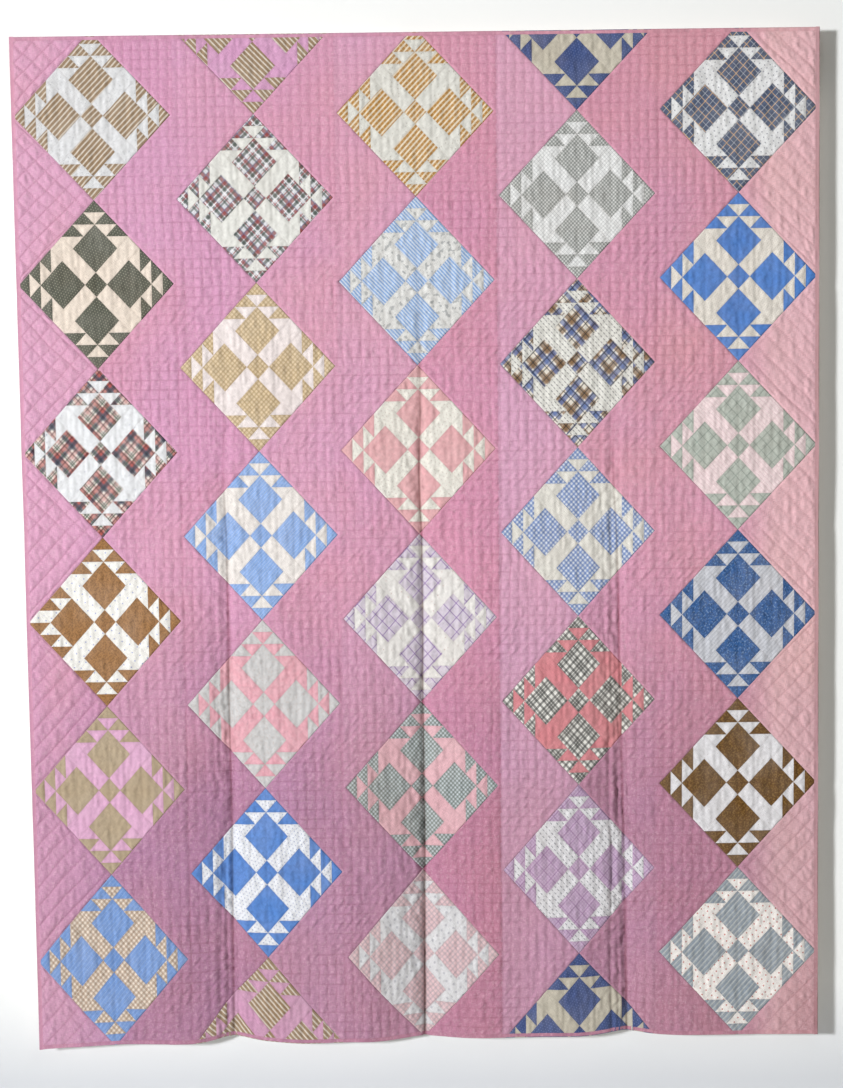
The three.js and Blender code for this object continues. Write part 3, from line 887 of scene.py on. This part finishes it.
def flat_sheet(name, step, w, material, inset):
    bm = bmesh.new()
    bmesh.ops.create_grid(
        bm, x_segments=round(WIDTH / step), y_segments=round(HEIGHT / step), size=0.5)
    bmesh.ops.scale(bm, vec=(WIDTH - 2 * inset, HEIGHT - 2 * inset, 1), verts=bm.verts)
    bmesh.ops.translate(bm, vec=(0, (HEAD + FOOT) / 2, w), verts=bm.verts)
    return make_piece(
        name, bm, [material], lambda points, middles: (points[:, 0] * MM, points[:, 1] * MM))


calico = cotton("backing_calico", "#e8e2d4", ("specks", "#b9a98e", 15, 0.8, 0.4), fade=0.05)
backing = flat_sheet("backing_sheet", BACKING_STEP, BACK - FACE, calico, EDGE_INSET)
hang(backing.data, quilted=-0.55, reach=HIDDEN_REACH)
backing.data.flip_normals()
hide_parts("backing")

wool = cotton("batting_wool", "#f0ebdf", ("blotch", "#e0d6c2", 30, 0.5, 0.6))
batting = flat_sheet("batting_pad", BATTING_STEP, BATTING_LEVEL, wool, BATTING_INSET)
hang(batting.data, quilted=0.0, reach=HIDDEN_REACH)
padding = batting.modifiers.new("loft", "SOLIDIFY")
padding.thickness, padding.offset = LOFT * MM, 0
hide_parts("batting")
print("backing faces", len(backing.data.polygons), "batting faces", len(batting.data.polygons))

# %% [markdown]
# ## Binding
# A narrow strip is folded over the raw edges and stitched down on both faces. Its section
# is drawn once, from the front stitching round the fold to the back stitching, and laid
# along each side. The fold is where an old quilt wears and darkens first.

# %% Binding cloth
WRAP = 12  # steps round the section
THICK = FACE - BACK  # through the layers
STITCHED = 5  # mm of binding to a step of its mesh
edge_cloth = pink_cotton("binding_cotton", edge=True)


def section(share):
    """(distance in from the fold, height over the face) round the binding."""
    radius = THICK / 2 + 0.35
    middle = -THICK / 2
    flat, arc = BINDING_W - radius, math.pi * radius
    s = share * (2 * flat + arc)
    turn = np.clip((s - flat) / radius, 0, math.pi)
    inset = radius - radius * np.sin(turn) + np.maximum(flat - s, 0) + np.maximum(s - flat - arc, 0)
    return inset, middle + radius * np.cos(turn)


def binding_strip(name, along, inwards, start, end):
    """along is 0 for a strip that runs across and 1 for one that runs up."""
    long = abs(end - start)
    bm = bmesh.new()
    bmesh.ops.create_grid(bm, x_segments=round(long / STITCHED), y_segments=WRAP, size=0.5)
    outer = {(1, 1): -WIDTH / 2, (1, -1): WIDTH / 2, (0, -1): HEAD, (0, 1): FOOT}[along, inwards]
    worn = bm.verts.layers.float.new("share_round")
    for vert in bm.verts:
        vert[worn] = vert.co.y + 0.5

    def wrapped(x, y):
        run = start + (x + 0.5) * (end - start)
        inset, w = section(y + 0.5)
        return (outer + inwards * inset, run, w) if along else (run, outer + inwards * inset, w)

    reshape(bm, wrapped)
    bmesh.ops.recalc_face_normals(bm, faces=bm.faces)
    return make_piece(
        name, bm, [edge_cloth], lambda points, middles: (points[:, 0] * MM, points[:, 2] * MM))


ACROSS = WIDTH / 2 - 1.5
BINDINGS = {
    "left": (1, 1, FOOT, HEAD), "right": (1, -1, FOOT, HEAD),
    "head": (0, -1, -ACROSS, ACROSS), "foot": (0, 1, -ACROSS, ACROSS),
}
for side, (along, inwards, start, end) in BINDINGS.items():
    strip = binding_strip(f"binding_{side}_strip", along, inwards, start, end)
    hang(strip.data)
    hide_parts(f"binding_{side}")

# %% [markdown]
# ## Hanging sleeves
# Two loops of muslin are sewn to the back, with a gap in the middle for the centre bracket.
# Each loop lies over the pole and hangs slack behind it.

# %% Sew the sleeves
AXIS = -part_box("pole")[0].y / MM / 2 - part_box("pole")[1].y / MM / 2
POLE_R = (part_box("pole")[1].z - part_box("pole")[0].z) / MM / 2
DROP, BEND = 78.0, 23.0  # from the pole's middle to the loop's foot, and how round that is
LEAVES = math.radians(110)  # where on the pole the cloth leaves for the quilt's back
MUSLIN = 0.5  # its thickness


def loop_points():
    """The middle of the cloth round the loop, as (distance from the wall, height)."""
    r, front = POLE_R + 0.8, BACK - 0.8
    top = (AXIS - r * math.cos(LEAVES), r * math.sin(LEAVES))
    points = [(front, top[1] + (front - top[0]) / math.tan(LEAVES))]
    points += [(AXIS - r * math.cos(a), r * math.sin(a)) for a in np.linspace(LEAVES, 0, 14)]
    back = AXIS - r
    points += [(back, z) for z in np.linspace(-6, -DROP + BEND, 8)]
    for a in np.linspace(0, math.pi / 2, 8)[1:]:
        in_from_back = (front - 0.3 - back) * (1 - math.cos(a))
        points.append((back + in_from_back, -DROP + BEND * (1 - math.sin(a))))
    points += [(front, z) for z in np.linspace(-DROP, points[0][1], 14)]
    return np.array(points)


def sleeve(name, x0, x1):
    line = loop_points()
    steps = np.r_[0, np.cumsum(np.hypot(*np.diff(line, axis=0).T))]
    bm = bmesh.new()
    bmesh.ops.create_grid(bm, x_segments=140, y_segments=90, size=0.5)

    def looped(x, y):
        s, x = (y + 0.5) * steps[-1], x0 + (x + 0.5) * (x1 - x0)
        y, z = np.interp(s, steps, line[:, 0]), np.interp(s, steps, line[:, 1])
        hanging = smooth(-z, 6, 40) * smooth(BACK - 6 - y, 0, 6)
        y = y + hanging * (1.6 + 1.9 * waves(x / 60, z / 55, 31))
        return x * MM, -y * MM, z * MM

    reshape(bm, looped)
    bmesh.ops.remove_doubles(bm, verts=bm.verts, dist=1e-5)
    bmesh.ops.recalc_face_normals(bm, faces=bm.faces)
    piece = make_piece(
        name, bm, [muslin], lambda points, middles: (points[:, 0], points[:, 2] + points[:, 1]))
    wall = piece.modifiers.new("cloth", "SOLIDIFY")
    wall.thickness, wall.offset = MUSLIN * MM, 0
    return piece, steps[-1]


muslin = cotton("sleeve_muslin", "#e2dccb", ("blotch", "#d2c6a9", 60, 0.5, 0.5), fade=0.05)
for side in ("left", "right"):
    low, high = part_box(f"sleeve_{side}")
    piece, around = sleeve(f"sleeve_{side}_muslin", low.x / MM, high.x / MM)
    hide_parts(f"sleeve_{side}")
print(f"sleeve {around:.0f} mm round")

# %% [markdown]
# ## Wood and brass
# The pole, brackets and screws keep the frame's shapes. The grain is noise drawn out along
# the wood, with darker pores, and the screws are lacquered brass that has dulled.


# %% Wood and brass finishes
def wood(name, light, dark, stretch):
    r = Recipe(name, 0.5)
    along = r.place(stretch, "object")
    grain = r.noise(along, 14, 5.0, 0.62)
    colour = r.mix(r.spread(grain, 0.32, 0.7), linear(light), linear(dark))
    pores = r.noise(r.place(tuple(s * 9 for s in stretch), "object"), 30, 2.0)
    colour = r.mix(r.spread(pores, 0.58, 0.72, 0, 0.5), colour, linear("#5b3d22"))
    r.put(r.shader.inputs["Base Color"], colour)
    r.put(r.shader.inputs["Roughness"], r.spread(grain, 0.3, 0.7, 0.42, 0.6))
    r.bump(pores, 0.0004, 0.4)
    return r.material


def brass():
    r = Recipe("dulled_brass", 0.35)
    r.shader.inputs["Metallic"].default_value = 1.0
    body = r.place(kind="object")
    dull = r.noise(body, 260, 3.0)
    colour = r.mix(r.spread(dull, 0.35, 0.65), linear("#c9ab66"), linear("#8d7440"))
    r.put(r.shader.inputs["Base Color"], colour)
    r.put(r.shader.inputs["Roughness"], r.spread(dull, 0.3, 0.7, 0.28, 0.5))
    r.bump(dull, 0.0001, 0.3)
    return r.material


FINISHES = {
    "pole": wood("pole_beech", "#c99f6b", "#a87845", (0.6, 12, 12)),
    "bracket": wood("bracket_beech", "#b98a58", "#8f6238", (12, 12, 0.9)),
    "screw": brass(),
}
for name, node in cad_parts.items():
    finish = FINISHES.get(name.split("_")[0])
    if finish:
        node.data.materials.clear()
        node.data.materials.append(finish)
        print("finished", name, "with", finish.name)

# %% [markdown]
# ## Wall, floor and light
# The quilt hangs on a white wall. The wall shows only its front, so that the quilt's back
# can be seen too. One soft lamp stands low at the left and leaves a strip of shadow along the
# right edge. Two weak lamps, over the front and behind, and a pale sky fill in.


# %% Wall and floor
def plain_plane(name, material, wide, deep, place, turn=0.0, shades=True):
    bm = bmesh.new()
    bmesh.ops.create_grid(bm, x_segments=1, y_segments=1, size=0.5)
    bmesh.ops.scale(bm, vec=(wide, deep, 1), verts=bm.verts)
    onto = Matrix.Translation(place) @ Matrix.Rotation(turn, 4, "X")
    bmesh.ops.transform(bm, matrix=onto, verts=bm.verts)
    mesh = bpy.data.meshes.new(name)
    bm.to_mesh(mesh)
    bm.free()
    mesh.materials.append(material)
    stage = bpy.data.objects.new(name, mesh)
    bpy.context.scene.collection.objects.link(stage)
    stage.visible_shadow = shades
    stage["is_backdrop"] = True


def one_sided_plaster():
    r = Recipe("wall_plaster", 0.95)
    # Painted shade: the plaster darkens towards the floor, where less light falls.
    low = r.spread(r.axes(r.place(kind="object"))[2], -2.1, -2.32)
    r.put(r.shader.inputs["Base Color"], r.mix(low, linear("#f1f4f4"), linear("#d3d7dc")))
    clear = r.tree.nodes.new("ShaderNodeBsdfTransparent")
    mixer = r.tree.nodes.new("ShaderNodeMixShader")
    behind = r.tree.nodes.new("ShaderNodeNewGeometry").outputs["Backfacing"]
    r.tree.links.new(behind, mixer.inputs[0])
    r.tree.links.new(r.shader.outputs[0], mixer.inputs[1])
    r.tree.links.new(clear.outputs[0], mixer.inputs[2])
    r.tree.links.new(mixer.outputs[0], r.tree.nodes["Material Output"].inputs["Surface"])
    return r.material


FLOOR_Z = FOOT * MM - 0.26  # the quilt hangs clear of it
floor_paint = Recipe("floor_paint", 0.8)
floor_paint.shader.inputs["Base Color"].default_value = linear("#e6e6e4")
WALL_TOP = 1.6
plain_plane("wall", one_sided_plaster(), 8, WALL_TOP - FLOOR_Z,
            (0, 0.0005, (WALL_TOP + FLOOR_Z) / 2), turn=math.pi / 2, shades=False)
plain_plane("floor", floor_paint.material, 12, 11, (0, -1.5, FLOOR_Z))


# %% Lamps and sky
def lamp(name, place, aim, size, power, colour):
    data = bpy.data.lights.new(name, "AREA")
    data.shape, data.size, data.energy, data.color = "DISK", size, power, colour
    light = bpy.data.objects.new(name, data)
    light.location = place
    light.rotation_euler = (Vector(aim) - Vector(place)).to_track_quat("-Z", "Y").to_euler()
    bpy.context.scene.collection.objects.link(light)


MIDDLE = (0, 0, (HEAD + FOOT) / 2 * MM)
spot = bpy.data.lights.new("key", "SPOT")
spot.energy, spot.shadow_soft_size, spot.color = 3700, 0.6, (1.0, 0.99, 0.995)
spot.spot_size, spot.spot_blend = math.radians(46), 1.0
key = bpy.data.objects.new("key", spot)
key.location = (-5.9, -7.6, -0.45)
key.rotation_euler = (Vector((0.5, 0, -0.65)) - key.location).to_track_quat("-Z", "Y").to_euler()
bpy.context.scene.collection.objects.link(key)
lamp("upper", (0.4, -3.2, 0.3), (0.2, 0, -0.6), 1.6, 12, (0.97, 0.985, 1.0))
lamp("behind", (-2.2, 4.0, 0.2), MIDDLE, 1.6, 150, (1, 1, 1))
sky = bpy.data.worlds.new("sky")
sky.use_nodes = True
sky.node_tree.nodes["Background"].inputs[0].default_value = (1.0, 0.955, 0.81, 1)
sky.node_tree.nodes["Background"].inputs[1].default_value = 0.16
bpy.context.scene.world = sky
bpy.context.scene.view_settings.view_transform = "Standard"

# %% [markdown]
# ## Camera
# The camera looks straight at the wall from a little over five metres, a hair out of level.

# %% Camera
FAR, FRAME_TALL = 5.2, 2.4329  # to the quilt, and the height seen there, in metres
ASIDE, BELOW_HEAD = 10.4, 1145.9  # the lens, right of the middle and under the head, in mm
OFF_LEVEL = math.radians(0.287)
SENSOR = 36
camera = bpy.data.objects.new("camera", bpy.data.cameras.new("camera"))
camera.data.sensor_width = SENSOR
camera.data.lens = SENSOR * FAR / FRAME_TALL
camera.location = (ASIDE * MM, -FAR - FACE * MM, (HEAD - BELOW_HEAD) * MM)
facing = Matrix.Rotation(OFF_LEVEL, 3, "Y") @ Matrix.Rotation(math.pi / 2, 3, "X")
camera.rotation_euler = facing.to_euler()
bpy.context.scene.collection.objects.link(camera)
bpy.context.scene.camera = camera
print(f"lens {camera.data.lens:.1f} mm")

# %% Measure the visual box and finish
bpy.context.view_layer.update()
low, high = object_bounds()
print("visual box, m:", [round(c, 3) for c in (*low, *high)])
